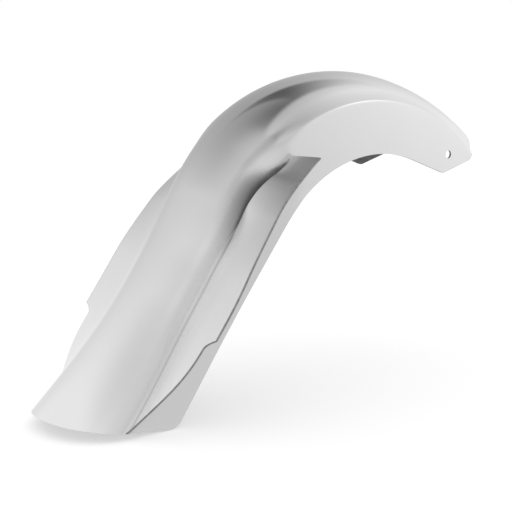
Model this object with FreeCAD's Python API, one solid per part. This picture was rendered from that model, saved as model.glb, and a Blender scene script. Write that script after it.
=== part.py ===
import FreeCAD, Part
import math
import os

# Rear fender of a motorcycle, moulded in one piece: a crowned channel over the
# wheel with a flat pad on each side, and a wing on each side of the tail that
# fills the gap to the luggage. Millimetres, X forward, Y left, Z up, in the
# pose on the motorcycle. The origin is midway between the two front bolt holes.
# The values below are measured from the centre of the wheel arch instead.

# Moulded thickness
wall = 3.5
wing_thickness = 3.5

# Crown line in side view: tangent arcs forward and rearward from its highest point
crown_radius = 407.0
front_level = 70.0
front_radius = 500.0
front_reach = 440.0
rear_level = 106.0
rear_radius = 344.0
rear_length = 270.0
kick_radius = 1370.0
tail_reach = 480.0
station_step = 64.0

# Cross section: an arch above two sides
side_half_width = 102.0
arch_height = 58.0
side_depth = 128.0
section_depth = 180.0
shoulder_share = 0.72

# The arch draws in to a waist between the wings and flares out at the tail.
# Places along the crown line are distances from its highest point.
waist_inset = 26.5
waist_start = 270.0
waist_full = 490.0
tail_flare = 31.0
flare_start = 540.0
flare_full = 800.0
tail_fullness = 0.18

# Flat side pad: a crisp upper edge, concentric with the wheel, that dies away before the wing
pad_edge_radius = 361.0
pad_ledge_slope = 12.0
pad_ledge_pull = 0.35
pad_edge_round = 3.0
soft_edge_round = 18.0
least_inner_round = 0.3
pad_fade_start = 150.0
pad_fade_end = 340.0

# Side outline: nose cut, lower edge round the wheel and tail cut
nose_x = 243.5
nose_z = 250.5
nose_slope = 55.0
nose_round = 8.0
chin_x = 174.0
chin_z = 231.5
chin_round = 14.0
front_edge_slope = 19.5
opening_radius = 254.0
rear_edge_slope = 53.0
tail_corner_x = -405.0
tail_corner_z = -108.5
tail_corner_round = 26.0
tail_cut_slope = 8.2
outline_margin = 700.0

# Wing: a thin plate that leaves the side at the foot of the arch
wing_start = 231.0
wing_sweep = 14.0
wing_lead = 42.0
wing_root_drop = 2.0
wing_top_drop = 11.0
wing_level = 380.0
wing_top_half_width = 144.5
wing_half_width = 171.5
wing_widen_start = 200.0
wing_widen_end = 530.0
wing_top_rim_depth = 82.0
wing_rim_depth = 53.0
wing_lift_start = 245.0
wing_lift_end = 480.0
wing_step = 48.0

# Hollow blend between the arch and the wing, sharp at the top and a little softer at the tail
blend_top = 3.0
blend_tail = 6.0
blend_start = 200.0
blend_full = 420.0
blend_top_lift = 30.0
blend_tail_lift = 20.0
blend_embed = 1.5
skin_samples = 300

# Gutter between the upper part of the wing and the side, which fades into the plain blend
gutter_width = 16.0
gutter_depth = 24.0
gutter_start = 228.0
gutter_full = 298.0
gutter_fade = 304.0
gutter_end = 450.0
gutter_fullness = 1.4

# Lower end of the wing: a notch, then a long S to the tail edge
notch = 574.0
notch_length = 18.0
notch_step = 20.0
taper_length = 152.0
taper_end_half_width = 102.0
taper_first_pull = 60.0
taper_last_pull = 65.0
taper_last_rise = 28.0
trim_margin = 120.0

# Front bolt holes, one through each side
bolt_x = 184.9
bolt_z = 263.5
bolt_hole_radius = 7.0


def smooth(value, start, end):
    """Ease from 0 at start to 1 at end, level at both."""
    t = min(max((value - start) / (end - start), 0.0), 1.0)
    return t * t * (3.0 - 2.0 * t)


def mix(a, b, t):
    return a + (b - a) * t


def flat(y, depth):
    """A point of a cross section: half width and depth below the crown line."""
    return FreeCAD.Vector(y, depth, 0)


def unit(vector):
    return FreeCAD.Vector(vector).normalize()


def heading(degrees):
    angle = math.radians(degrees)
    return flat(math.cos(angle), math.sin(angle))


def outward(direction):
    """Outer normal of a section line that runs down and out from the crown."""
    return flat(direction.y, -direction.x)


def cross(a, b):
    return a.x * b.y - a.y * b.x


def split(poles, t):
    """Both parts of a curve cut at t, by repeated division of its poles."""
    rows = [poles]
    while len(rows[-1]) > 1:
        last = rows[-1]
        rows.append([mix(a, b, t) for a, b in zip(last, last[1:])])
    return [row[0] for row in rows], [row[-1] for row in reversed(rows)]


def crown_frame(distance):
    """Point of the crown line in side view, with the polar angle of its outer normal."""
    forward = [(crown_radius, front_level), (front_radius, front_reach)]
    rearward = [(crown_radius, rear_level), (rear_radius, rear_length), (-kick_radius, tail_reach)]
    sense = 1.0 if distance > 0.0 else -1.0
    left = abs(distance)
    x = 0.0
    z = crown_radius
    angle = math.radians(90.0)
    for radius, length in rearward if distance > 0.0 else forward:
        step = min(left, length)
        turned = angle + sense * step / radius
        x += radius * (math.cos(turned) - math.cos(angle))
        z += radius * (math.sin(turned) - math.sin(angle))
        angle = turned
        left -= step
    return x, z, angle


def placed(point, distance, side):
    """A section point in space, on the given side of the fender."""
    x, z, angle = crown_frame(distance)
    return FreeCAD.Vector(x - point.y * math.cos(angle), side * point.x, z - point.y * math.sin(angle))


def bezier(poles):
    curve = Part.BezierCurve()
    curve.setPoles(poles)
    return curve.toShape()


def section_curve(poles, distance, side):
    return bezier([placed(p, distance, side) for p in poles])


def stations(start, end, step):
    count = math.ceil((end - start) / step)
    return [start + (end - start) * i / count for i in range(count + 1)]


def tail_end():
    return rear_level + rear_length + tail_reach


def gutter(distance):
    """Share of the gutter at a place on the crown line: none at its ends and the whole between."""
    return smooth(distance, gutter_start, gutter_full) - smooth(distance, gutter_fade, gutter_end)


def arch_half_width(distance):
    waist = smooth(distance, waist_start, waist_full)
    flare = smooth(distance, flare_start, flare_full)
    return side_half_width - waist_inset * waist - gutter_width * gutter(distance) + tail_flare * flare


def pad_edge_depth(distance):
    """Depth at which a section meets the circle of the pad's upper edge."""
    x, z, angle = crown_frame(distance)
    along = x * math.cos(angle) + z * math.sin(angle)
    return along - math.sqrt(along * along - x * x - z * z + pad_edge_radius * pad_edge_radius)


def outer_profile(distance):
    """Half of the outer section from the crown down: arch, side blend, edge round, side foot, radius."""
    half = arch_half_width(distance)
    slope = 2.0 * math.atan2(arch_height, half)
    radius = half / math.sin(slope)
    fullness = 1.0 + tail_fullness * smooth(distance, flare_start, flare_full)
    handle = 4.0 / 3.0 * math.tan(slope / 4.0) * radius * fullness
    end = flat(half, arch_height)
    whole = [flat(0, 0), flat(handle, 0), end - heading(math.degrees(slope)) * handle, end]
    arch, lower_arch = split(whole, shoulder_share)
    shoulder = arch[3]
    leaving = unit(arch[3] - arch[2])
    corner = flat(side_half_width, pad_edge_depth(min(distance, pad_fade_end)))
    pull = pad_ledge_pull * (corner - shoulder).Length
    ledge = [shoulder, shoulder + leaving * pull, corner - heading(pad_ledge_slope) * pull, corner]
    fade = smooth(distance, pad_fade_start, pad_fade_end)
    blend = [mix(a, b, fade) for a, b in zip(ledge, lower_arch)]
    edge_round = mix(pad_edge_round, soft_edge_round, fade)
    side = unit(flat(max(side_half_width, half), side_depth) - blend[3])
    foot = blend[3] + side * ((section_depth - blend[3].y) / side.y)
    return arch, blend, edge_round, foot, radius


def profile(distance, inset):
    """Four curves of a half section, moved inwards by inset: arch, blend, rounded edge and side."""
    arch, blend, edge_round, foot, radius = outer_profile(distance)
    shrink = 1.0 - inset / radius
    leaving = unit(arch[3] - arch[2])
    arriving = unit(blend[3] - blend[2])
    side = unit(foot - blend[3])
    top = arch[0] + flat(0, inset)
    shoulder = arch[3] - outward(leaving) * inset
    first = [
        top,
        top + (arch[1] - arch[0]) * shrink,
        shoulder - (arch[3] - arch[2]) * shrink,
        shoulder,
    ]
    bend = min(arriving.dot(side), 1.0)
    corner = blend[3] - (outward(arriving) + outward(side)) * (inset / (1.0 + bend))
    reach = max(edge_round - inset * math.tan(math.acos(bend) / 2.0), least_inner_round * edge_round)
    start = corner - arriving * reach
    stretch = (start - shoulder).Length / (blend[3] - blend[0]).Length
    second = [
        shoulder,
        shoulder + leaving * ((blend[1] - blend[0]).Length * stretch),
        start - arriving * ((blend[3] - blend[2]).Length * stretch),
        start,
    ]
    finish = corner + side * reach
    third = [start, corner, finish]
    fourth = [finish, foot - outward(side) * inset]
    return [first, second, third, fourth]


def shell_section(distance):
    """The closed thin section: outer skin down both sides, inner skin back."""
    outer = profile(distance, 0.0)
    inner = profile(distance, wall)
    edges = []
    for poles in reversed(outer):
        edges.append(section_curve(poles[::-1], distance, 1))
    for poles in outer:
        edges.append(section_curve(poles, distance, -1))
    edges.append(section_curve([outer[3][-1], inner[3][-1]], distance, -1))
    for poles in reversed(inner):
        edges.append(section_curve(poles[::-1], distance, -1))
    for poles in inner:
        edges.append(section_curve(poles, distance, 1))
    edges.append(section_curve([inner[3][-1], outer[3][-1]], distance, 1))
    return Part.Wire(edges)


def climb(distance, depth, rise):
    """The outer skin at a depth, and further up it by a length: both points, each with its direction."""
    wire = Part.Wire([bezier(poles) for poles in profile(distance, 0.0)])
    points = wire.discretize(skin_samples)
    low = next(i for i, p in enumerate(points) if p.y > depth)
    share = (depth - points[low - 1].y) / (points[low].y - points[low - 1].y)
    root = mix(points[low - 1], points[low], share)
    high = low - 1
    length = (root - points[high]).Length
    while length < rise:
        high -= 1
        length += (points[high + 1] - points[high]).Length
    step = unit(points[high + 1] - points[high])
    return root, unit(points[low] - points[low - 1]), points[high] + step * (length - rise), step


def wing_section(distance, hand):
    """The closed section of a wing: gutter or blend, top, rim, underside and buried root."""
    drop = wing_root_drop + wing_top_drop * (1.0 - smooth(distance, wing_start, wing_level))
    soft = smooth(distance, blend_start, blend_full)
    size = mix(blend_top, blend_tail, soft)
    root, side, upper, along = climb(distance, arch_height + drop, size)
    share = gutter(distance)
    out = outward(side)
    crest = root + out * (gutter_width * share)
    widen = smooth(distance, wing_widen_start, wing_widen_end)
    lift = smooth(distance, wing_lift_start, wing_lift_end)
    rim = flat(
        mix(wing_top_half_width, wing_half_width, widen),
        mix(wing_top_rim_depth, wing_rim_depth, lift),
    )
    across = unit(rim - crest)
    under = flat(-across.y, across.x) * wing_thickness
    high = upper - outward(along) * blend_embed
    tilt = heading(mix(blend_top_lift, blend_tail_lift, soft))
    leaving = along * tilt.x + outward(along) * tilt.y
    crease = high + leaving * (cross(root - high, across) / cross(leaving, across))
    deep = root + side * gutter_depth
    start = mix(high, deep - out * blend_embed, share)
    bottom = mix(crease, deep + (side * gutter_depth + out * gutter_width) * (gutter_fullness - 1.0), share)
    toe = mix(crease + across * (crease - high).Length, crest, share)
    heel = mix(root, deep + side * wing_thickness, share) + under * (1.0 - share) - out * blend_embed
    under_toe = toe + under + across * (wing_thickness * share)
    under_bottom = mix((heel + under_toe) * 0.5, bottom + (side + out) * wing_thickness, share)
    lines = [
        [start, bottom, toe],
        [toe, rim],
        [rim, rim + under],
        [rim + under, under_toe],
        [under_toe, under_bottom, heel],
        [heel, start],
    ]
    return Part.Wire([section_curve(poles, distance, hand) for poles in lines])


def wing_prism(distance, hand, outline):
    """A prism across the wing at a place on the crown line, from curves with (length, half width) poles."""
    x, z, angle = crown_frame(distance)
    across = FreeCAD.Vector(0, hand, 0)
    normal = FreeCAD.Vector(math.cos(angle), 0, math.sin(angle))
    along = FreeCAD.Vector(-math.sin(angle), 0, math.cos(angle))
    origin = FreeCAD.Vector(x, 0, z) - normal * (arch_height + trim_margin)
    edges = [bezier([origin + along * a + across * b for a, b in poles]) for poles in outline]
    return Part.Face(Part.Wire(edges)).extrude(normal * (2.0 * trim_margin))


def closed(curves, corners):
    """Curves of an outline, joined by straight lines through the corners back to the start."""
    points = [curves[-1][-1]] + corners + [curves[0][0]]
    return curves + [[a, b] for a, b in zip(points, points[1:])]


def top_trim(hand):
    """What lies ahead of the wing's swept upper end."""
    reach = wing_top_half_width - side_half_width
    inner = side_half_width - reach
    outer = wing_top_half_width + reach
    edge = [(wing_sweep, inner), (-2.0 * wing_sweep, outer)]
    corners = [(-trim_margin, outer), (-trim_margin, inner)]
    return wing_prism(wing_start, hand, closed([edge], corners))


def tail_trim(hand):
    """What lies outside the notch and the S curve below it."""
    inner = wing_half_width - notch_step
    end = notch_length + taper_length
    outside = [(-notch_length, wing_half_width + 2.0 * notch_step), (0.0, wing_half_width)]
    step = [(0.0, wing_half_width), (notch_length / 2.0, inner), (notch_length, inner)]
    taper = [
        (notch_length, inner),
        (notch_length + taper_first_pull, inner),
        (end - taper_last_pull, taper_end_half_width + taper_last_rise),
        (end, taper_end_half_width),
    ]
    corners = [
        (end + trim_margin, taper_end_half_width),
        (end + trim_margin, wing_half_width + 2.0 * notch_step),
    ]
    return wing_prism(notch, hand, closed([outside, step, taper], corners))


def rounded_outline(corners):
    """A closed outline in side view. Each corner is (x, z, radius), and a radius becomes a tangent arc."""
    points = [FreeCAD.Vector(x, 0, z) for x, z, radius in corners]
    rounds = []
    for i, (x, z, radius) in enumerate(corners):
        here = points[i]
        back = unit(points[i - 1] - here)
        ahead = unit(points[(i + 1) % len(points)] - here)
        half = math.acos(back.dot(ahead)) / 2.0
        reach = radius / math.tan(half)
        middle = here + unit(back + ahead) * (radius / math.sin(half) - radius)
        rounds.append((here + back * reach, middle, here + ahead * reach, radius))
    edges = []
    for i, (start, middle, end, radius) in enumerate(rounds):
        if radius:
            edges.append(Part.Arc(start, middle, end).toShape())
        edges.append(Part.LineSegment(end, rounds[(i + 1) % len(rounds)][0]).toShape())
    return Part.Wire(edges)


def side_prism():
    """Everything above the lower edge, behind the nose cut and above the tail cut."""
    front = math.tan(math.radians(front_edge_slope))
    rear = math.tan(math.radians(rear_edge_slope))
    apex_x = (chin_z + chin_x * front - tail_corner_z + tail_corner_x * rear) / (front + rear)
    apex_z = chin_z + (chin_x - apex_x) * front
    far_z = tail_corner_z + (tail_corner_x + outline_margin) * math.tan(math.radians(tail_cut_slope))
    nose_far_x = nose_x + (outline_margin - nose_z) / math.tan(math.radians(nose_slope))
    outline = rounded_outline([
        (nose_x, nose_z, nose_round),
        (chin_x, chin_z, chin_round),
        (apex_x, apex_z, opening_radius),
        (tail_corner_x, tail_corner_z, tail_corner_round),
        (-outline_margin, far_z, 0.0),
        (-outline_margin, outline_margin, 0.0),
        (nose_far_x, outline_margin, 0.0),
    ])
    outline.translate(FreeCAD.Vector(0, -outline_margin, 0))
    return Part.Face(outline).extrude(FreeCAD.Vector(0, 2.0 * outline_margin, 0))


def channel():
    places = stations(-front_level - front_reach, tail_end(), station_step)
    return Part.makeLoft([shell_section(d) for d in places], True, False)


def wing(hand):
    places = stations(wing_start - wing_lead, tail_end(), wing_step)
    plate = Part.makeLoft([wing_section(d, hand) for d in places], True, False)
    return plate.cut([top_trim(hand), tail_trim(hand)])


def bolt_holes():
    length = 4.0 * side_half_width
    start = FreeCAD.Vector(bolt_x, -length / 2.0, bolt_z)
    return Part.makeCylinder(bolt_hole_radius, length, start, FreeCAD.Vector(0, 1, 0))


def rear_fender():
    body = channel().fuse([wing(1), wing(-1)])
    body = body.common(side_prism()).cut(bolt_holes())
    body.translate(FreeCAD.Vector(-bolt_x, 0, -bolt_z))
    return body


os.makedirs("parts", exist_ok=True)
fender = rear_fender()
fender.exportStep("parts/rear_fender.step")
print("solids", len(fender.Solids), "valid", fender.isValid(), "volume", round(fender.Volume))
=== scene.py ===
# %% [markdown]
# # Rear fender, moulded in one piece
# The solid model of this fender is already packed as a fixed frame. This script dresses it:
# it builds the same moulding again as one fine mesh, gives it its finish, and sets up a plain
# studio. Lengths are written in millimetres, as on a drawing, and turned into metres at the end.

# %% Load the frame
import math

import bpy
import numpy as np
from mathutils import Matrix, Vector


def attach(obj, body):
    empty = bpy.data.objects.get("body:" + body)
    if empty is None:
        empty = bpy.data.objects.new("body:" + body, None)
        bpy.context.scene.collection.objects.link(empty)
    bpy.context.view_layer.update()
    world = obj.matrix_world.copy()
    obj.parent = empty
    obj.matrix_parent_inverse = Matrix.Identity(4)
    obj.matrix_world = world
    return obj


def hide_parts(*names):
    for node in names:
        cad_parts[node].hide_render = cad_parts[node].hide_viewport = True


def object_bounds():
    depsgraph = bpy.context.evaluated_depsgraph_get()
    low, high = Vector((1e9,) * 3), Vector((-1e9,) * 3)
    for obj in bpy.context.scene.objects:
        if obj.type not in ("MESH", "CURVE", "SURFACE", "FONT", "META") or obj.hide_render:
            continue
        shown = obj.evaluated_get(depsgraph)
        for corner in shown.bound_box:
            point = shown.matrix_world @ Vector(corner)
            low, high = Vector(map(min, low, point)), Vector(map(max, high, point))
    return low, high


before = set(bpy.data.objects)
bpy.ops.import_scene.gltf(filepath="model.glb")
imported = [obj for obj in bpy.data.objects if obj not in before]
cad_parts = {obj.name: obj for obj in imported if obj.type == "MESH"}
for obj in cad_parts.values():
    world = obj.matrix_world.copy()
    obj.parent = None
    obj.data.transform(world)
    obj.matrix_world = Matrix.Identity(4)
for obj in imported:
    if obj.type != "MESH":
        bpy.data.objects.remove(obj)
cad_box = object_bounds()

# %% [markdown]
# ## Small tools
# Every shape below is worked out as whole arrays. An ease goes from 0 to 1 with level ends, and a
# Bezier curve is found by mixing its poles until one point is left, for all curves at once. Blender's
# own curve objects could do this too, but arrays can be measured and bent before a mesh is made.

# %% Curves
def ease(value, start, end):
    """0 before start, 1 after end, and t squared times (3 - 2 t) between."""
    t = np.clip((value - start) / (end - start), 0.0, 1.0)
    return t * t * (3.0 - 2.0 * t)


def mix(a, b, t):
    """From a to b in a straight line: a plus t times the difference."""
    return a + (b - a) * t


def unit(vectors):
    """Each vector divided by its own length."""
    return vectors / np.linalg.norm(vectors, axis=-1, keepdims=True)


def length(vectors):
    """Root of the sum of squares along the last axis, which stays with one entry."""
    return np.linalg.norm(vectors, axis=-1, keepdims=True)


def bezier(poles, t):
    """Points at t on curves whose poles lie along the second last axis: neighbouring poles are mixed
    by t until one is left."""
    p = poles[..., None, :, :]
    t = t[:, None, None]
    while p.shape[-2] > 1:
        p = mix(p[..., :-1, :], p[..., 1:, :], t)
    return p[..., 0, :]


def outward(direction):
    """Outer normal of a section line that runs down and out: its direction turned a quarter."""
    return np.stack([direction[..., 1], -direction[..., 0]], axis=-1)


def stack(*points):
    """Poles of one curve per row, from its points."""
    return np.stack(points, axis=-2)


print("an ease in four steps", ease(np.linspace(0.0, 1.0, 5), 0.0, 1.0))

# %% [markdown]
# ## The crown line
# Seen from the side, the ridge of the fender is a chain of tangent arcs: a round top over the
# wheel, a flatter nose, a tighter bend behind, and a long tail that kicks out. A spline through
# points would wave, and arcs give the same clean line that a pattern maker would draw.

# %% Crown line
crown_radius = 407.0
front_level, front_radius = 70.0, 500.0
rear_level, rear_radius, rear_length = 106.0, 344.0, 270.0
kick_radius = 1370.0


def crown_line(distance):
    """Point and outer normal at a distance along the crown, zero at its top: each arc adds its radius
    times the change of its normal."""
    angle = np.full_like(distance, math.pi / 2.0)
    x = np.zeros_like(distance)
    z = np.full_like(distance, crown_radius)
    ahead = np.clip(-distance, 0.0, None)
    behind = np.clip(distance, 0.0, None)
    rest = rear_level + rear_length
    arcs = [
        (crown_radius, -np.clip(ahead, 0.0, front_level)),
        (front_radius, -np.clip(ahead - front_level, 0.0, None)),
        (crown_radius, np.clip(behind, 0.0, rear_level)),
        (rear_radius, np.clip(behind - rear_level, 0.0, rear_length)),
        (-kick_radius, np.clip(behind - rest, 0.0, None)),
    ]
    for radius, step in arcs:
        turned = angle + step / radius
        x = x + radius * (np.cos(turned) - np.cos(angle))
        z = z + radius * (np.sin(turned) - np.sin(angle))
        angle = turned
    return np.stack([x, z], axis=-1), np.stack([np.cos(angle), np.sin(angle)], axis=-1)


def placed(section, distance, hand):
    """Section points (half width, depth) in space: crown point minus depth times the normal."""
    point, normal = crown_line(distance)
    side = point[:, None, :] - section[..., 1:] * normal[:, None, :]
    return np.stack([side[..., 0], hand * section[..., 0], side[..., 1]], axis=-1)


print("top of the crown, x and z from the wheel's centre", crown_line(np.zeros(1))[0][0])

# %% [markdown]
# ## The cross section
# Across the fender runs an arch. In front it steps down through a soft shoulder to a flat pad
# with a crisp upper edge. Behind, the pad dies away, the arch draws in to a waist between the
# wings, and flares again at the tail. It could be sculpted by hand, but a few named sizes that ease
# along the crown keep it smooth. The pad's edge is a circle round the wheel's centre.

# %% Cross section
side_half_width, arch_height = 102.0, 58.0
side_depth, section_depth = 128.0, 180.0
shoulder_share = 0.685
waist_inset, waist_start, waist_full = 26.5, 270.0, 490.0
tail_flare, flare_start, flare_full, tail_fullness = 31.0, 540.0, 800.0, 0.18
pad_edge_radius, pad_ledge_slope, pad_ledge_pull = 361.0, math.radians(32.0), 0.35
pad_edge_round, soft_edge_round = 3.0, 18.0
pad_fade_start, pad_fade_end = 150.0, 340.0
gutter_width, gutter_depth, gutter_fullness = 16.0, 24.0, 1.4
gutter_start, gutter_full, gutter_fade, gutter_end = 228.0, 298.0, 304.0, 450.0


def gutter(distance):
    """Share of the gutter beside a wing: none at its ends and the whole between."""
    return ease(distance, gutter_start, gutter_full) - ease(distance, gutter_fade, gutter_end)


def pad_edge_depth(distance):
    """Depth at which a section meets the circle of the pad's upper edge round the wheel's centre."""
    point, normal = crown_line(np.minimum(distance, pad_fade_end))
    along = (point * normal).sum(axis=-1)
    return along - np.sqrt(along ** 2 - (point ** 2).sum(axis=-1) + pad_edge_radius ** 2)


print("depth of the pad's edge below the top", pad_edge_depth(np.zeros(1)))

# %% [markdown]
# ## Poles of the section
# Half a section is an arch, a blend, a rounded edge and a straight side. The arch is one curve that is
# split at the shoulder. In front, a ledge replaces its lower part, and by the tail the split curve comes
# back, so the pad fades without a seam. Mixing poles does this for all places at once.

# %% Section poles
def outer_profile(distance):
    """Poles of the arch, poles of its blend to the side, edge round, side foot and arch radius. The arch
    follows a circle that is level at the top: its slope at the end is twice the angle to the end, and
    its handles are four thirds of the radius times the tangent of a quarter of that slope."""
    zero = np.zeros_like(distance)
    flare = ease(distance, flare_start, flare_full)
    waist = waist_inset * ease(distance, waist_start, waist_full) + gutter_width * gutter(distance)
    half = side_half_width - waist + tail_flare * flare
    slope = 2.0 * np.arctan2(arch_height, half)
    radius = half / np.sin(slope)
    handle = 4.0 / 3.0 * np.tan(slope / 4.0) * radius * (1.0 + tail_fullness * flare)
    end = np.stack([half, zero + arch_height], axis=-1)
    down = np.stack([np.cos(slope), np.sin(slope)], axis=-1)
    row = stack(np.stack([zero, zero], -1), np.stack([handle, zero], -1), end - down * handle[:, None], end)
    first, last = [], []
    while row.shape[-2]:
        first.append(row[:, 0])
        last.insert(0, row[:, -1])
        row = mix(row[:, :-1], row[:, 1:], shoulder_share)
    arch, lower_arch = stack(*first), stack(*last)
    shoulder = arch[:, 3]
    leaving = unit(arch[:, 3] - arch[:, 2])
    corner = np.stack([zero + side_half_width, pad_edge_depth(distance)], axis=-1)
    pull = pad_ledge_pull * length(corner - shoulder)
    level = np.array([math.cos(pad_ledge_slope), math.sin(pad_ledge_slope)])
    ledge = stack(shoulder, shoulder + leaving * pull, corner - level * pull, corner)
    fade = ease(distance, pad_fade_start, pad_fade_end)
    blend = mix(ledge, lower_arch, fade[:, None, None])
    edge_round = mix(pad_edge_round, soft_edge_round, fade)
    low = np.stack([np.maximum(half, side_half_width), zero + side_depth], axis=-1)
    side = unit(low - blend[:, 3])
    foot = blend[:, 3] + side * ((section_depth - blend[:, 3, 1:]) / side[:, 1:])
    return arch, blend, edge_round[:, None], foot, radius[:, None]


print("arch radius at the top", outer_profile(np.zeros(1))[-1][0, 0].round(1))

# %% [markdown]
# ## Outer and inner skin
# The moulding has one wall thickness all over. A Solidify modifier could add it, but the pad's crisp
# edge is tighter than the wall is thick, so the inner side would fold there. The inner skin is worked
# out instead: every curve moves inwards along its normals, its handles shrink with the radius, and the
# rounded edge gets smaller, down to a least share of itself.

# %% Skin
least_round_share = 0.3


def skin(distance, inset, counts):
    """Half sections moved inwards by inset, as points: arch, blend, rounded edge and side, sampled
    by counts. The edge round loses the inset times the tangent of half the bend."""
    arch, blend, edge_round, foot, radius = outer_profile(distance)
    shrink = 1.0 - inset / radius
    leaving = unit(arch[:, 3] - arch[:, 2])
    arriving = unit(blend[:, 3] - blend[:, 2])
    side = unit(foot - blend[:, 3])
    top = arch[:, 0] + np.array([0.0, inset])
    shoulder = arch[:, 3] - outward(leaving) * inset
    first = stack(
        top,
        top + (arch[:, 1] - arch[:, 0]) * shrink,
        shoulder - (arch[:, 3] - arch[:, 2]) * shrink,
        shoulder,
    )
    bend = np.minimum((arriving * side).sum(axis=-1, keepdims=True), 1.0)
    corner = blend[:, 3] - (outward(arriving) + outward(side)) * (inset / (1.0 + bend))
    smaller = edge_round - inset * np.tan(np.arccos(bend) / 2.0)
    reach = np.maximum(smaller, least_round_share * edge_round)
    start = corner - arriving * reach
    stretch = length(start - shoulder) / length(blend[:, 3] - blend[:, 0])
    second = stack(
        shoulder,
        shoulder + leaving * length(blend[:, 1] - blend[:, 0]) * stretch,
        start - arriving * length(blend[:, 3] - blend[:, 2]) * stretch,
        start,
    )
    finish = corner + side * reach
    third = stack(start, corner, finish)
    fourth = stack(finish, foot - outward(side) * inset)
    curves = [first, second, third, fourth]
    rows = [bezier(poles, np.linspace(0.0, 1.0, n + 1)[:-1]) for poles, n in zip(curves, counts)]
    return np.concatenate(rows + [fourth[:, -1:]], axis=1)


skin_counts = (20, 18, 6, 16)
print("half a section at the top has", skin(np.zeros(1), 0.0, skin_counts).shape[1], "points")

# %% [markdown]
# ## Closed meshes from grids
# A loft is a grid of points: one ring per place along the fender. The first half of each ring goes
# out along one skin, the second half comes back along the other, so both ends close with a strip of
# quads between the two halves. The sign of the enclosed volume says if the faces look outwards. The
# frame's origin lies on the line through the bolt holes, so points move there as they turn to metres.

# %% Lofts
bolt_x, bolt_z = 184.9, 263.5
frame_origin = np.array([bolt_x, 0.0, bolt_z])
millimetre = 0.001


def new_object(name, points, faces, indices, materials):
    """A smooth mesh object from points, faces and one material index for each face."""
    mesh = bpy.data.meshes.new(name)
    mesh.from_pydata(points, [], faces)
    for material in materials:
        mesh.materials.append(material)
    mesh.polygons.foreach_set("material_index", np.asarray(indices, np.int32))
    mesh.polygons.foreach_set("use_smooth", np.ones(len(mesh.polygons), bool))
    piece = bpy.data.objects.new(name, mesh)
    bpy.context.scene.collection.objects.link(piece)
    return piece


def facing_out(points, quads):
    """The quads, turned round if the volume under them, a sum of triple products, is negative."""
    a, b, c, d = (points[quads[:, i]] for i in range(4))
    volume = (a * np.cross(b, c)).sum() + (a * np.cross(c, d)).sum()
    return quads if volume > 0.0 else quads[:, ::-1]


def closed_loft(name, grid, finish_index, materials):
    """A closed mesh from rings of points, with a material index for each step round the ring."""
    rows, ring, _ = grid.shape
    at = np.arange(rows * ring).reshape(rows, ring)
    ahead = np.roll(at, -1, axis=1)
    sides = np.stack([at[:-1], ahead[:-1], ahead[1:], at[1:]], axis=-1).reshape(-1, 4)
    i = np.arange(ring // 2 - 1)
    strip = np.stack([i, ring - 1 - i, ring - 2 - i, i + 1], axis=-1)
    quads = np.concatenate([sides, strip, (rows - 1) * ring + strip[:, ::-1]])
    indices = np.concatenate([np.tile(finish_index, rows - 1), np.full(2 * len(strip), skin_index)])
    points = (grid.reshape(-1, 3) - frame_origin) * millimetre
    return new_object(name, points, facing_out(points, quads).tolist(), indices, materials)


print("origin of the frame from the wheel's centre", frame_origin)

# %% [markdown]
# ## Cutting and joining
# A moulding is trimmed after it leaves its mould, and its wings grow out of its sides. Closed meshes can
# be joined and cut by Booleans: a prism is a flat outline carried along a straight line, and each step
# is applied at once, so that what follows works on a plain mesh.

# %% Prisms and Booleans
def prism(name, outline, sweep, index):
    """A closed outline carried along a straight sweep, both in millimetres, all in one finish. Its faces
    turn round if the sweep runs against the outline's area, a sum of cross products."""
    count = len(outline)
    points = (np.concatenate([outline, outline + sweep]) - frame_origin) * millimetre
    i = np.arange(count)
    j = np.roll(i, -1)
    walls = np.stack([i, j, j + count, i + count], axis=-1)
    faces = walls.tolist() + [i[::-1].tolist(), (i + count).tolist()]
    area = np.cross(outline - outline[0], np.roll(outline, -1, axis=0) - outline[0]).sum(axis=0)
    if (area * sweep).sum() < 0.0:
        faces = [face[::-1] for face in faces]
    return new_object(name, points, faces, np.full(len(faces), index), finishes)


def carve(piece, tool, operation):
    """Joins, cuts or trims a closed piece by another, keeps the result as the piece's mesh, and drops
    the tool."""
    step = piece.modifiers.new("carve", "BOOLEAN")
    step.operation = operation
    step.solver = "MANIFOLD"
    step.object = tool
    shown = piece.evaluated_get(bpy.context.evaluated_depsgraph_get())
    before = piece.data
    after = bpy.data.meshes.new_from_object(shown)
    piece.modifiers.remove(step)
    piece.data = after
    bpy.data.meshes.remove(before)
    bpy.data.objects.remove(tool)
    print(operation.lower(), "leaves", len(after.polygons), "faces")


# %% [markdown]
# ## Shader sums as plain expressions
# A material is a net of small nodes. They could be placed by hand in the shader editor, but a value that
# knows its socket lets the sums be written as in algebra, and one method adds any other kind of node.

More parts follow.
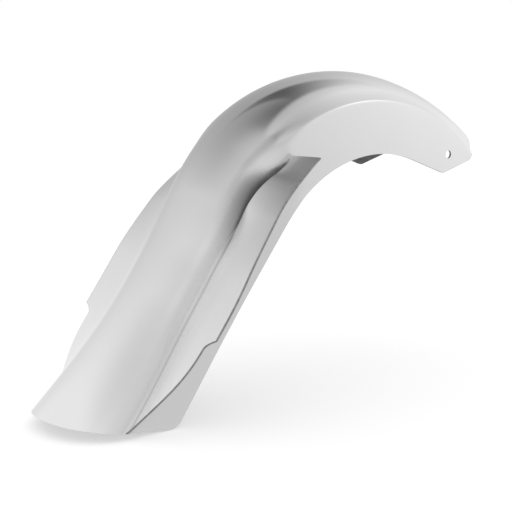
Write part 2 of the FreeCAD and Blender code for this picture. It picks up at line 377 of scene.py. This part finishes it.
# %% Shader values
class Value:
    """An output socket, with the sums that shaders need."""

    def __init__(self, tree, socket):
        self.tree = tree
        self.socket = socket

    def node(self, kind, inputs, output=0, **settings):
        """Adds a node: its settings first, then the values or links of its inputs."""
        made = self.tree.nodes.new(kind)
        for name, setting in settings.items():
            setattr(made, name, setting)
        for name, value in inputs.items():
            if isinstance(value, Value):
                self.tree.links.new(value.socket, made.inputs[name])
            else:
                made.inputs[name].default_value = value
        return Value(self.tree, made.outputs[output])

    def math(self, operation, *others):
        """One operation on this number and others."""
        return self.node("ShaderNodeMath", dict(enumerate([self, *others])), operation=operation)

    def __add__(self, other):
        return self.math("ADD", other)

    def __sub__(self, other):
        return self.math("SUBTRACT", other)

    def __mul__(self, other):
        return self.math("MULTIPLY", other)

    def __rsub__(self, other):
        return (self * -1.0) + other

    __radd__ = __add__
    __rmul__ = __mul__

    def ease(self, start, end):
        """0 to 1 between two values, level at both ends."""
        inputs = {"Value": self, "From Min": start, "From Max": end}
        return self.node("ShaderNodeMapRange", inputs, interpolation_type="SMOOTHSTEP")

    def vector(self, operation, *others):
        """One operation on this vector and others."""
        return self.node("ShaderNodeVectorMath", dict(enumerate([self, *others])), operation=operation)

    def towards(self, direction):
        """Cosine of the angle to a direction: the dot product of two unit vectors."""
        return self.node("ShaderNodeVectorMath", {0: self, 1: direction}, "Value", operation="DOT_PRODUCT")

    def noise(self, scale, detail):
        """Cloudy noise from 0 to 1 at these coordinates."""
        return self.node("ShaderNodeTexNoise", {"Vector": self, "Scale": scale, "Detail": detail})


def coordinates(tree, output):
    """The named texture coordinates of a material, as a value."""
    return Value(tree, tree.nodes.new("ShaderNodeTexCoord").outputs[output])


def connect(value, socket):
    """Feeds a value into a socket."""
    value.tree.links.new(value.socket, socket)


def new_finish(name):
    """A material with its one shader, its tree and the object's own coordinates."""
    material = bpy.data.materials.new(name)
    material.use_nodes = True
    tree = material.node_tree
    return material, tree.nodes["Principled BSDF"], coordinates(tree, "Object")


print("a shader value knows", [name for name in vars(Value) if not name.startswith("_")])

# %% [markdown]
# ## Silver-grey finish
# Outside, the moulding has a smooth silver-grey finish that mirrors its surroundings softly, almost as
# polished metal does. A hand-sprayed coat is never quite even: the flake lies in faint clouds, the gloss
# varies a little and a very fine orange peel stays in the surface. One even colour would look like
# plastic, so four noises of very different sizes vary it a little. The colour is also multiplied by an
# attribute of painted shade and painted highlight, and where that is away from 1 the reflection gets hazy.

# %% Silver-grey finish
silver, metallic_share = 0.86, 0.92
gloss, haze, most_roughness = 0.1, 1.2, 0.5
even_tint = 0.975
cloud_scale, cloud_detail, cloud_tint = 9.0, 3.0, 0.035
flake_scale, flake_detail, flake_tint = 900.0, 2.0, 0.015
smear_scale, smear_detail, smear_share = 28.0, 4.0, 0.03
peel_scale, peel_detail, peel_strength, peel_height = 420.0, 2.0, 0.04, 0.0003
outer_finish, shader, spot = new_finish("silver_grey_finish")
# An attribute carries painted shade (below 1) and painted highlight (above 1) into the colour.
polish = spot.node("ShaderNodeAttribute", {}, "Fac", attribute_name="polish")
cloud = spot.noise(cloud_scale, cloud_detail)
flake = spot.noise(flake_scale, flake_detail)
smear = spot.noise(smear_scale, smear_detail)
peel = spot.noise(peel_scale, peel_detail)
connect(silver * polish * (even_tint + cloud_tint * cloud + flake_tint * flake), shader.inputs["Base Color"])
roughness = gloss - smear_share / 2.0 + smear_share * smear + haze * (1.0 - polish).math("ABSOLUTE")
connect(roughness.math("MINIMUM", most_roughness), shader.inputs["Roughness"])
inputs = {"Height": peel, "Strength": peel_strength, "Distance": peel_height}
connect(peel.node("ShaderNodeBump", inputs, "Normal"), shader.inputs["Normal"])
shader.inputs["Metallic"].default_value = metallic_share
print(outer_finish.name, "has", len(outer_finish.node_tree.nodes), "nodes")

# %% [markdown]
# ## Bare fibre
# The inside and the trimmed edges are bare glass fibre in resin, dark and rough, and mottled where the
# strands lie. The edge finish is also painted shade: its tone makes the dark lines along the wing's rim and
# the S curve, and it goes on the rounded rim too. Modelled strands would cost far too many faces, so one
# noise with a lot of detail stands for the strands and a finer one for the grain, and both also drive a
# shallow bump.

# %% Bare fibre
strand_scale, strand_detail, strand_low, strand_high = 160.0, 6.0, 0.3, 0.7
grain_scale, grain_detail = 1400.0, 2.0
resin_tint, strand_tint, grain_tint = 0.75, 0.4, 0.1
resin_roughness, strand_smoothness = 0.75, 0.2
strand_rise, grain_rise, weave_strength, weave_height = 0.6, 0.4, 0.35, 0.0008
# The edge tone is bare fibre at the cuts and also painted shade: dark lines along the rim and the S curve.
inside_resin, edge_resin_and_shade = 0.22, 0.36


def fibre_finish(name, resin):
    """Glass fibre in resin: strands and a fine grain tint it, and both stand a little proud."""
    material, shader, spot = new_finish(name)
    strands = spot.noise(strand_scale, strand_detail).ease(strand_low, strand_high)
    grain = spot.noise(grain_scale, grain_detail)
    connect(resin * (resin_tint + strand_tint * strands + grain_tint * grain), shader.inputs["Base Color"])
    connect(resin_roughness - strand_smoothness * strands, shader.inputs["Roughness"])
    weave = strand_rise * strands + grain_rise * grain
    inputs = {"Height": weave, "Strength": weave_strength, "Distance": weave_height}
    connect(weave.node("ShaderNodeBump", inputs, "Normal"), shader.inputs["Normal"])
    return material


finishes = [outer_finish, fibre_finish("bare_inside", inside_resin), fibre_finish("bare_edge_and_shade_line", edge_resin_and_shade)]
skin_index, inside_index, edge_index = range(len(finishes))
print("finishes", [finish.name for finish in finishes])

# %% [markdown]
# ## The channel
# The body of the fender is a channel over the wheel. A curve with a bevel would keep one section all
# along, so both skins are lofted instead: together they make one ring per place. The rows are closer
# than the eye can see at this size, so that reflections run smoothly over the crown.

# %% Channel
wall = 3.5
channel_start, channel_end, row_step = -330.0, 840.0, 5.0


def both_halves(half):
    """From the left foot over the crown to the right foot, with the half width's sign."""
    left = half[:, ::-1]
    return np.concatenate([left, half[:, 1:] * np.array([-1.0, 1.0])], axis=1)


places = np.linspace(channel_start, channel_end, int((channel_end - channel_start) / row_step) + 1)
outside = both_halves(skin(places, 0.0, skin_counts))
inside = both_halves(skin(places, wall, skin_counts))
ring = np.concatenate([outside, inside[:, ::-1]], axis=1)
step_finish = np.repeat([skin_index, inside_index], [outside.shape[1], inside.shape[1]])
step_finish[-1] = skin_index
fender = closed_loft("fender_moulding", placed(ring, places, 1.0), step_finish, finishes)
print("channel", ring.shape[:2], "points")

# %% [markdown]
# ## Where a wing leaves the side
# A wing is a thin plate that leaves the side at the foot of the arch and fills the gap to the luggage.
# A hollow blend joins it to the arch: tight at its upper end, soft by the tail. The root is found on a
# finely sampled section, by its depth, and the blend starts a set length further up along the skin.

# %% Wing root and rim
wing_start, wing_sweep = 231.0, 14.0
wing_root_drop, wing_top_drop, wing_level = 2.0, 11.0, 380.0
wing_top_half_width, wing_half_width = 144.5, 171.5
wing_widen_start, wing_widen_end = 200.0, 530.0
wing_top_rim_depth, wing_rim_depth = 82.0, 53.0
wing_lift_start, wing_lift_end = 245.0, 480.0
blend_top, blend_tail = 3.0, 6.0
fine_counts = (90, 60, 20, 60)


def between(values, level):
    """For rising values in each row, the index before a level and the share of the next step."""
    index = np.clip((values < level).sum(axis=1, keepdims=True), 1, values.shape[1] - 1)
    low = np.take_along_axis(values, index - 1, axis=1)
    high = np.take_along_axis(values, index, axis=1)
    return index - 1, (level - low) / (high - low)


def pick(points, index, share):
    """Points of each row at an index plus a share of a step, and the step's direction."""
    a = np.take_along_axis(points, index[..., None], axis=1)[:, 0]
    b = np.take_along_axis(points, index[..., None] + 1, axis=1)[:, 0]
    return mix(a, b, share), unit(b - a)


def wing_root(distance, soft):
    """Root of the wing and the side's direction there, then the upper end of its blend and the skin's
    direction there. The run is the sum of the steps along the section."""
    drop = wing_root_drop + wing_top_drop * (1.0 - ease(distance, wing_start, wing_level))
    points = skin(distance, 0.0, fine_counts)
    steps = np.diff(points, axis=1)
    run = np.concatenate([np.zeros((len(distance), 1)), length(steps)[..., 0].cumsum(axis=1)], axis=1)
    index, share = between(points[..., 1], (arch_height + drop)[:, None])
    root, side = pick(points, index, share)
    root_step, _ = pick(steps, index - 1, 1.0)
    root_run = np.take_along_axis(run, index, 1) + share * length(root_step)
    index, share = between(run, root_run - mix(blend_top, blend_tail, soft))
    upper, along = pick(points, index, share)
    return root, side, upper, along


def wing_rim(distance):
    """Outer edge of the wing: half width and depth, each eased from its upper to its lower value."""
    widen = ease(distance, wing_widen_start, wing_widen_end)
    lift = ease(distance, wing_lift_start, wing_lift_end)
    return np.stack([
        mix(wing_top_half_width, wing_half_width, widen),
        mix(wing_top_rim_depth, wing_rim_depth, lift),
    ], axis=-1)


print("wing rim at its upper end, half width and depth", wing_rim(np.array([wing_start]))[0].round(1))

# %% [markdown]
# ## The wings
# The plate is carried along its root and rim, with a rounded rim and a gutter between its inner edge
# and the channel. A plane with Solidify would not meet the arch in a hollow, so the whole ring is drawn:
# out over the top, round the rim and back below. It starts just under the skin, so the two closed
# meshes cross cleanly and can be joined.

# %% Wings
wing_thickness = 3.5
blend_start, blend_full = 200.0, 420.0
blend_top_lift, blend_tail_lift = math.radians(30.0), math.radians(20.0)
blend_embed = 1.5
hollow_count, plate_count, rim_count = 14, 12, 4
wing_lead, wing_rows = 3.0 * wing_sweep, 130


def cross(a, b):
    """Cross product of flat vectors: first of a times second of b, minus second of a times first of b."""
    return (a[:, :1] * b[:, 1:]) - (a[:, 1:] * b[:, :1])


def wing_ring(distance):
    """Rings of a wing: hollow blend, top and half of the rim going out, then the rest and the underside.
    Every pole is a mix of one for the plain blend and one for the gutter, by the gutter's share."""
    soft = ease(distance, blend_start, blend_full)[:, None]
    root, side, upper, along = wing_root(distance, soft)
    rim = wing_rim(distance)
    part = gutter(distance)[:, None]
    out = outward(side)
    crest = root + out * gutter_width * part
    across = unit(rim - crest)
    under = -outward(across) * wing_thickness
    high = upper - outward(along) * blend_embed
    tilt = mix(blend_top_lift, blend_tail_lift, soft)
    leaving = along * np.cos(tilt) + outward(along) * np.sin(tilt)
    crease = high + leaving * (cross(root - high, across) / cross(leaving, across))
    deep = root + side * gutter_depth
    start = mix(high, deep - out * blend_embed, part)
    bottom = mix(crease, deep + (side * gutter_depth + out * gutter_width) * (gutter_fullness - 1.0), part)
    toe = mix(crease + across * length(crease - high), crest, part)
    heel = mix(root, deep + side * wing_thickness, part) + under * (1.0 - part) - out * blend_embed
    under_toe = toe + under + across * wing_thickness * part
    under_bottom = mix((heel + under_toe) * 0.5, bottom + (side + out) * wing_thickness, part)
    round_out = across * (wing_thickness / 2.0)
    middle = rim + under / 2.0
    turn = np.linspace(-math.pi / 2.0, math.pi / 2.0, 2 * rim_count)[:, None]
    bead_centre = (middle - round_out)[:, None]
    bead = bead_centre + under[:, None] / 2.0 * np.sin(turn) + round_out[:, None] * np.cos(turn)
    hollow = bezier(stack(start, bottom, toe), np.linspace(0.0, 1.0, hollow_count + 1)[:-1])
    top = bezier(stack(toe, rim - round_out), np.linspace(0.0, 1.0, plate_count + 1)[:-1])
    below = bezier(stack(rim + under - round_out, under_toe), np.linspace(0.0, 1.0, plate_count + 1)[1:])
    back = bezier(stack(under_toe, under_bottom, heel), np.linspace(0.0, 1.0, hollow_count + 1)[1:])
    return np.concatenate([hollow, top, bead, below, back], axis=1)


wing_places = np.linspace(wing_start - wing_lead, channel_end, wing_rows)
wing_section = wing_ring(wing_places)
bead_start = hollow_count + plate_count
wing_finish = np.full(wing_section.shape[1], skin_index)
wing_finish[bead_start:] = inside_index
# The rounded rim takes the edge finish as painted shade, a dark line along the wing's rim.
wing_finish[bead_start:bead_start + 2 * rim_count] = edge_index
print("wing", wing_section.shape[:2], "points")

# %% [markdown]
# ## Trimming a wing
# Seen square to its plate, a wing has a swept upper end, a notch below its widest part, and a long S
# curve to the tail edge. The grid could be bent to these lines, but its rows would crowd together at
# the notch. Each is the outline of a prism that is cut away, as a saw would do it.

# %% Wing outlines
notch, notch_length, notch_step = 574.0, 18.0, 20.0
taper_length, taper_end_half_width = 152.0, 102.0
taper_first_pull, taper_last_pull, taper_last_rise = 60.0, 65.0, 28.0
trim_margin = 120.0
curve_points = 25
curve_share = np.linspace(0.0, 1.0, curve_points)


def wing_tool(name, distance, hand, outline, index):
    """A prism along the crown's normal at a place, from an outline of (length rearward, half width)."""
    point, normal = (v[0] for v in crown_line(np.array([distance])))
    normal = np.array([normal[0], 0.0, normal[1]])
    along = np.array([-normal[2], 0.0, normal[0]])
    origin = np.array([point[0], 0.0, point[1]]) - normal * (arch_height + trim_margin)
    outline = np.asarray(outline)
    flat = origin + outline[:, :1] * along + outline[:, 1:] * np.array([0.0, hand, 0.0])
    return prism(name, flat, normal * (2.0 * trim_margin), index)


def tail_outline():
    """Outline of what is cut off behind the notch: one Bezier curve for the step of the notch, one for
    the long S, and straight lines outside the wing."""
    inner = wing_half_width - notch_step
    outer = wing_half_width + 2.0 * notch_step
    end = notch_length + taper_length
    step = np.array([[0.0, wing_half_width], [notch_length / 2.0, inner], [notch_length, inner]])
    taper = np.array([
        [notch_length, inner],
        [notch_length + taper_first_pull, inner],
        [end - taper_last_pull, taper_end_half_width + taper_last_rise],
        [end, taper_end_half_width],
    ])
    return np.concatenate([
        [[-notch_length, outer]],
        bezier(step, curve_share),
        bezier(taper, curve_share)[1:],
        [[end + trim_margin, taper_end_half_width], [end + trim_margin, outer]],
    ])


reach = wing_top_half_width - side_half_width
top_outline = [
    (wing_sweep, side_half_width - reach),
    (-2.0 * wing_sweep, wing_top_half_width + reach),
    (-trim_margin, wing_top_half_width + reach),
    (-trim_margin, side_half_width - reach),
]
for hand, word in ((1.0, "left"), (-1.0, "right")):
    wing = closed_loft("wing_" + word, placed(wing_section, wing_places, hand), wing_finish, finishes)
    carve(wing, wing_tool("upper_trim", wing_start, hand, top_outline, skin_index), "DIFFERENCE")
    carve(wing, wing_tool("tail_trim", notch, hand, tail_outline(), edge_index), "DIFFERENCE")
    carve(fender, wing, "UNION")

# %% [markdown]
# ## The side outline
# A moulding comes out of its mould too large and is trimmed to a template. The template here is the
# side view: nose cut, rounded chin, the opening round the wheel, the straight lower edge and the tail.
# Cutting the lofts to length in their grids would leave steps along the slanted lines, so one prism
# trims all of it.

# %% Side outline
nose_x, nose_z, nose_slope, nose_round = 243.5, 250.5, math.radians(55.0), 8.0
chin_x, chin_z, chin_round = 174.0, 231.5, 14.0
front_edge_slope, opening_radius, rear_edge_slope = math.radians(19.5), 254.0, math.radians(53.0)
tail_corner_x, tail_corner_z, tail_corner_round = -405.0, -108.5, 26.0
tail_cut_slope, outline_margin = math.radians(8.2), 700.0
arc_points = 33


def rounded_outline(corners, steps):
    """A closed outline whose corners, given as (x, z, radius), become tangent arcs of a number of steps.
    An arc's centre lies on the corner's bisector, at the radius over the sine of half the angle."""
    points = np.array([(x, 0.0, z) for x, z, _ in corners])
    radius = np.array([[r] for _, _, r in corners])
    back = unit(np.roll(points, 1, axis=0) - points)
    ahead = unit(np.roll(points, -1, axis=0) - points)
    half = np.arccos((back * ahead).sum(axis=-1, keepdims=True)) / 2.0
    inward = unit(back + ahead)
    centre = points + inward * radius / np.sin(half)
    cross_way = unit(ahead - back)
    sweep = (math.pi / 2.0 - half) * np.linspace(-1.0, 1.0, steps)
    arc = centre[:, None] + radius[:, None] * (
        cross_way[:, None] * np.sin(sweep)[..., None] - inward[:, None] * np.cos(sweep)[..., None]
    )
    kept = np.where(radius > 0.0, steps, 1)[:, 0]
    return np.concatenate([row[:n] for row, n in zip(arc, kept)])


front, rear = math.tan(front_edge_slope), math.tan(rear_edge_slope)
apex_x = (chin_z + chin_x * front - tail_corner_z + tail_corner_x * rear) / (front + rear)
apex_z = chin_z + (chin_x - apex_x) * front
far_z = tail_corner_z + (tail_corner_x + outline_margin) * math.tan(tail_cut_slope)
nose_far_x = nose_x + (outline_margin - nose_z) / math.tan(nose_slope)
template = rounded_outline([
    (nose_x, nose_z, nose_round),
    (chin_x, chin_z, chin_round),
    (apex_x, apex_z, opening_radius),
    (tail_corner_x, tail_corner_z, tail_corner_round),
    (-outline_margin, far_z, 0.0),
    (-outline_margin, outline_margin, 0.0),
    (nose_far_x, outline_margin, 0.0),
], arc_points)
across_all = np.array([0.0, 2.0 * outline_margin, 0.0])
carve(fender, prism("template", template - across_all / 2.0, across_all, edge_index), "INTERSECT")

# %% [markdown]
# ## The bolt holes
# Near the nose, a hole in each side takes a bolt. Drilling comes after trimming, as in a workshop, and
# one round bar drills both sides in line. Edges that turn sharply are then marked, so that smooth
# shading stops there.

# %% Bolt holes
bolt_hole_radius, hole_sides, sharp_angle = 7.0, 48, math.radians(30.0)
round_way = np.linspace(0.0, 2.0 * math.pi, hole_sides + 1)[:-1]
bolt_line = np.stack([
    bolt_x + bolt_hole_radius * np.cos(round_way),
    np.zeros_like(round_way),
    bolt_z + bolt_hole_radius * np.sin(round_way),
], axis=-1)
carve(fender, prism("bolts", bolt_line - across_all / 2.0, across_all, inside_index), "DIFFERENCE")
fender.data.set_sharp_from_angle(angle=sharp_angle)

# %% [markdown]
# ## Places on the finished mesh
# The joined mesh no longer knows its grid, but the painted shade and highlight need to know how far each
# point lies from the crest, the wing's inner edge. A painted map would do, and a sum is more exact: each
# point looks for the place along the crown whose normal passes nearest, and is measured from the crest there.

# %% Distance from the crest
search_start, search_count = 206.0, 316
search = np.linspace(search_start, channel_end, search_count)
crest = wing_section[:, hollow_count]


def from_crest(metres):
    """Place along the crown line whose normal passes nearest, then half width and depth from the
    wing's crest. A normal is near where the point's offset along the tangent is least."""
    points = metres.reshape(-1, 3) / millimetre + frame_origin
    crown, normal = crown_line(search)
    tangent = np.stack([-normal[:, 1], normal[:, 0]], axis=-1)
    flat = points[:, ::2]
    best = np.abs(flat @ tangent.T - (crown * tangent).sum(axis=-1)).argmin(axis=1)
    place = search[best]
    depth = ((crown[best] - flat) * normal[best]).sum(axis=-1)
    half_width = np.abs(points[:, 1])
    return (
        place,
        half_width - np.interp(place, wing_places, crest[:, 0]),
        depth - np.interp(place, wing_places, crest[:, 1]),
    )


def mesh_values(collection, name, width, kind):
    """All values of one property of a mesh's parts, as one flat array."""
    values = np.empty(len(collection) * width, kind)
    collection.foreach_get(name, values)
    return values


mesh = fender.data
place, half, depth = from_crest(mesh_values(mesh.vertices, "co", 3, np.float32))
_, face_half, face_depth = from_crest(mesh_values(mesh.polygons, "center", 3, np.float32))
apart = np.hypot(half, depth)
print("points within a wall's width of the crest", int((apart < wall).sum()))

# %% [markdown]
# ## Painted shade and highlight
# The gutter beside each wing, and the crease that follows it, are darkened in the colour as painted shade.
# On the wing's plate, the colour is lightened lower down as a painted highlight, and darkened at its upper
# end as painted shade. Every corner of the mesh gets its share from its place along the crown line and its
# distance from the crest of the wing. A corner belongs to one face, so the share can jump at the crest, and
# the finish reads it as an attribute.

# %% Painted shade and highlight
shade_start, shade_full, shade_fade, shade_end = 226.0, 292.0, 300.0, 480.0
gutter_shade, crease_shade = 0.85, 0.17
narrow_shade_width, wide_shade_width, wide_start, wide_place = 13.0, 48.0, 256.0, 336.0
crease_shade_width, crease_start, crease_full = 16.0, 380.0, 500.0
plate_highlight, plate_highlight_start, plate_highlight_full = 0.16, 300.0, 440.0
plate_highlight_width, plate_highlight_left = 45.0, 0.45
top_shade, top_fade, top_end = 0.15, 270.0, 340.0
crest_margin, plate_depth = 0.5, 12.0
# Painted shade: first the gutter, then the crease, darker nearer the crest of the wing.
shade_width = mix(narrow_shade_width, wide_shade_width, ease(place, wide_start, wide_place))
shade_width = mix(shade_width, crease_shade_width, ease(place, crease_start, crease_full))
painted_shade = ease(place, shade_start, shade_full) * mix(gutter_shade, crease_shade, ease(place, shade_fade, shade_end))
painted_shade = painted_shade * (1.0 - ease(apart, 0.0, shade_width))
# Painted highlight on the lower wing plate, with painted shade at the plate's upper end.
painted_highlight = plate_highlight * ease(place, plate_highlight_start, plate_highlight_full)
painted_highlight = painted_highlight * mix(1.0, plate_highlight_left, ease(apart, 0.0, plate_highlight_width))
painted_highlight = painted_highlight - top_shade * (1.0 - ease(place, top_fade, top_end))
corner_point = mesh_values(mesh.loops, "vertex_index", 1, np.int32)
face_corners = mesh_values(mesh.polygons, "loop_total", 1, np.int32)
inner_side = np.repeat(face_half < 0.0, face_corners)
on_wing = np.repeat((face_half > crest_margin) & (face_depth < plate_depth), face_corners)
# Each corner: 1 for the plain finish, less for painted shade, more for painted highlight.
painted_light_shares = 1.0 - painted_shade[corner_point] * inner_side + painted_highlight[corner_point] * on_wing
layer = mesh.attributes.new("polish", "FLOAT", "CORNER")
layer.data.foreach_set("value", painted_light_shares.astype(np.float32))
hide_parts("rear_fender")
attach(fender, "root")

# %% [markdown]
# ## The floor
# The fender stands on white paper that runs out of sight and keeps its soft shadow. Brighter lamps would
# whiten the paper but also wash out the fender, so the paper glows a little, and only for rays that
# show it: those from the camera, in a mirror or through glass.

# %% Floor
scene = bpy.context.scene
scene.view_settings.view_transform = "Standard"
floor_z, floor_reach = cad_box[0][2], 12.0
floor_shown, paper_white, paper_roughness = 0.5, 0.9, 0.9
corners = np.array([[-1.0, -1.0], [1.0, -1.0], [1.0, 1.0], [-1.0, 1.0]]) * floor_reach
floor_points = np.column_stack([corners, np.full(len(corners), floor_z)])
paper = bpy.data.materials.new("white_floor")
paper.use_nodes = True
floor = new_object("floor", floor_points, [[0, 1, 2, 3]], [0], [paper])
floor.visible_glossy = False
tree = paper.node_tree
sheet = tree.nodes["Principled BSDF"]
sheet.inputs["Base Color"].default_value = (paper_white, paper_white, paper_white, 1.0)
sheet.inputs["Roughness"].default_value = paper_roughness


def seen_rays(tree):
    """1 for what the camera sees directly, in a mirror or through glass, and 0 for light that falls
    on things: the largest of three ray marks."""
    path = tree.nodes.new("ShaderNodeLightPath")
    camera, glossy, through = (
        Value(tree, path.outputs[name]) for name in ("Is Camera Ray", "Is Glossy Ray", "Is Transmission Ray")
    )
    return camera.math("MAXIMUM", glossy).math("MAXIMUM", through)


seen = seen_rays(tree)
white = seen.node("ShaderNodeEmission", {"Strength": seen * floor_shown})
both = white.node("ShaderNodeAddShader", {0: Value(tree, sheet.outputs[0]), 1: white})
connect(both, tree.nodes["Material Output"].inputs["Surface"])

# %% [markdown]
# ## The light tent
# A smooth bright skin shows its surroundings more than its own colour, so the studio is a light tent:
# a white ball of cloth close round the fender, lit softly from outside. Lamps make bright patches on
# the cloth and the gap overhead makes a dark one with edges. Area lamps would do for the patches but
# not for the gap. Only reflections see the tent, so it casts no shadow and lights nothing else.

# %% Tent cloth
tent_centre, tent_radius = np.array([-0.33, 0.0, 0.0]), 0.9
tent_turns, tent_rings = 64, 32
turns = np.linspace(0.0, 2.0 * math.pi, tent_turns + 1)[:-1]
rises = np.linspace(-math.pi / 2.0, math.pi / 2.0, tent_rings + 2)[1:-1]
turn, rise = np.meshgrid(turns, rises)
ball = np.stack([np.cos(rise) * np.cos(turn), np.cos(rise) * np.sin(turn), np.sin(rise)], axis=-1)
at = np.arange(turn.size).reshape(turn.shape)
ahead = np.roll(at, -1, axis=1)
cloth_faces = np.stack([at[:-1], ahead[:-1], ahead[1:], at[1:]], axis=-1).reshape(-1, 4).tolist()
cloth_faces += [at[0, ::-1].tolist(), at[-1].tolist()]
cloth_points = ball.reshape(-1, 3) * tent_radius + tent_centre
cloth = bpy.data.materials.new("tent_cloth")
cloth.use_nodes = True
tent = new_object("light_tent", cloth_points, cloth_faces, np.zeros(len(cloth_faces), int), [cloth])
tent.visible_camera = False
tent.visible_diffuse = False
tent.visible_transmission = False
tent.visible_shadow = False
print("tent of", len(cloth_faces), "faces")

# %% [markdown]
# ## Lamps on the cloth
# Each lamp is written as azimuth, elevation, spread in degrees, and level. The cloth is one material
# that adds the patches by direction from the tent's centre. The bright lamp behind the tail fades
# below the horizon, and a cap keeps the sum below white before the gap is taken out. One small lamp
# on the gap's edge comes last.

# %% Tent light
tent_level, least_glow, most_glow = 0.1, 0.02, 0.95
lamp_patches = [
    (-19.0, 25.0, 31.0, 0.8),
    (-114.0, 63.0, 11.0, 0.12),
    (131.0, -6.0, 37.0, 0.52),
    (-123.0, 1.0, 55.0, 0.53),
    (36.0, -49.0, 33.0, 0.96),
    (180.0, -80.0, 36.0, 0.33),
]
edge_lamp = (-28.0, 42.0, 8.0, 0.4)
tail_lamp, tail_lamp_foot, tail_lamp_clear = (180.0, -22.0, 22.0, 2.4), -0.4, 0.1
gap_middle, gap_left = (-25.0, 82.0, 17.5, 0.74), (57.0, 56.0, 13.5, 0.67)
far_edge, far_place, far_softness = (0.28, 0.81, -0.516), 0.075, 0.045
near_edge, near_place, near_softness = (-0.44, 0.777, -0.449), -0.55, 0.05
fold_edge, fold_place, fold_softness = (0.437, 0.0, -0.899), -0.77, 0.03
tree = cloth.node_tree
away = coordinates(tree, "Object").vector("SUBTRACT", tent_centre).vector("NORMALIZE")


def patch(azimuth, elevation, spread, level):
    """A round soft patch: its level times e to the power (cosine of the angle - 1) over the spread
    squared."""
    azimuth, elevation, spread = (math.radians(v) for v in (azimuth, elevation, spread))
    middle = (
        math.cos(elevation) * math.cos(azimuth),
        math.cos(elevation) * math.sin(azimuth),
        math.sin(elevation),
    )
    return level * ((away.towards(middle) - 1.0) * (1.0 / spread ** 2)).math("EXPONENT")


def beyond(edge, place, softness):
    """0 on one side of a straight edge of the cloth and 1 on the other."""
    return away.towards(edge).ease(place - softness, place + softness)


glow = sum((patch(*row) for row in lamp_patches), tent_level)
glow = glow + patch(*tail_lamp) * away.towards((0.0, 0.0, 1.0)).ease(tail_lamp_foot, tail_lamp_clear)
opening = (1.0 - beyond(far_edge, far_place, far_softness)) * beyond(near_edge, near_place, near_softness)
gap = opening * (patch(*gap_middle) + beyond(fold_edge, fold_place, fold_softness) * patch(*gap_left))
glow = glow.math("MINIMUM", most_glow) * (1.0 - gap) + patch(*edge_lamp)
light = glow.node("ShaderNodeEmission", {"Strength": glow.math("MAXIMUM", least_glow)})
connect(light, tree.nodes["Material Output"].inputs["Surface"])
print("tent cloth has", len(tree.nodes), "nodes")

# %% [markdown]
# ## The world
# All round stands an even white light, as from a large cloth sky. It is the only light on the floor and
# on what is not mirror-like, so the shadow has no hard edge. A sky picture could do the same, but an even
# level keeps colours as they are written. Where the background is seen, it shows plain white.

# %% World
world_level = 0.6
world = bpy.data.worlds.new("studio")
scene.world = world
world.use_nodes = True
tree = world.node_tree
connect(seen_rays(tree) * (1.0 - world_level) + world_level, tree.nodes["Background"].inputs["Color"])
print("world level", world_level)

# %% [markdown]
# ## The camera
# The camera looks from the rear right, a little from above, with a long lens that keeps the far end of
# the fender from shrinking much. It could track an empty, but a fixed turn and place give the same
# picture every time.

# %% Camera
sensor_width, lens_length = 36.0, 84.375
view_azimuth, view_elevation = math.radians(-40.24), math.radians(9.97)
view_place = (-1.5951, -1.4716, 0.1864)
camera = bpy.data.objects.new("camera", bpy.data.cameras.new("camera"))
scene.collection.objects.link(camera)
scene.camera = camera
camera.data.sensor_width = sensor_width
camera.data.lens = lens_length
level_share = math.cos(view_elevation)
back = Vector((
    math.sin(view_azimuth) * level_share,
    -math.cos(view_azimuth) * level_share,
    math.sin(view_elevation),
))
camera.rotation_mode = "QUATERNION"
camera.rotation_quaternion = (-back).to_track_quat("-Z", "Y")
camera.location = view_place
print("camera at", view_place)

# %% [markdown]
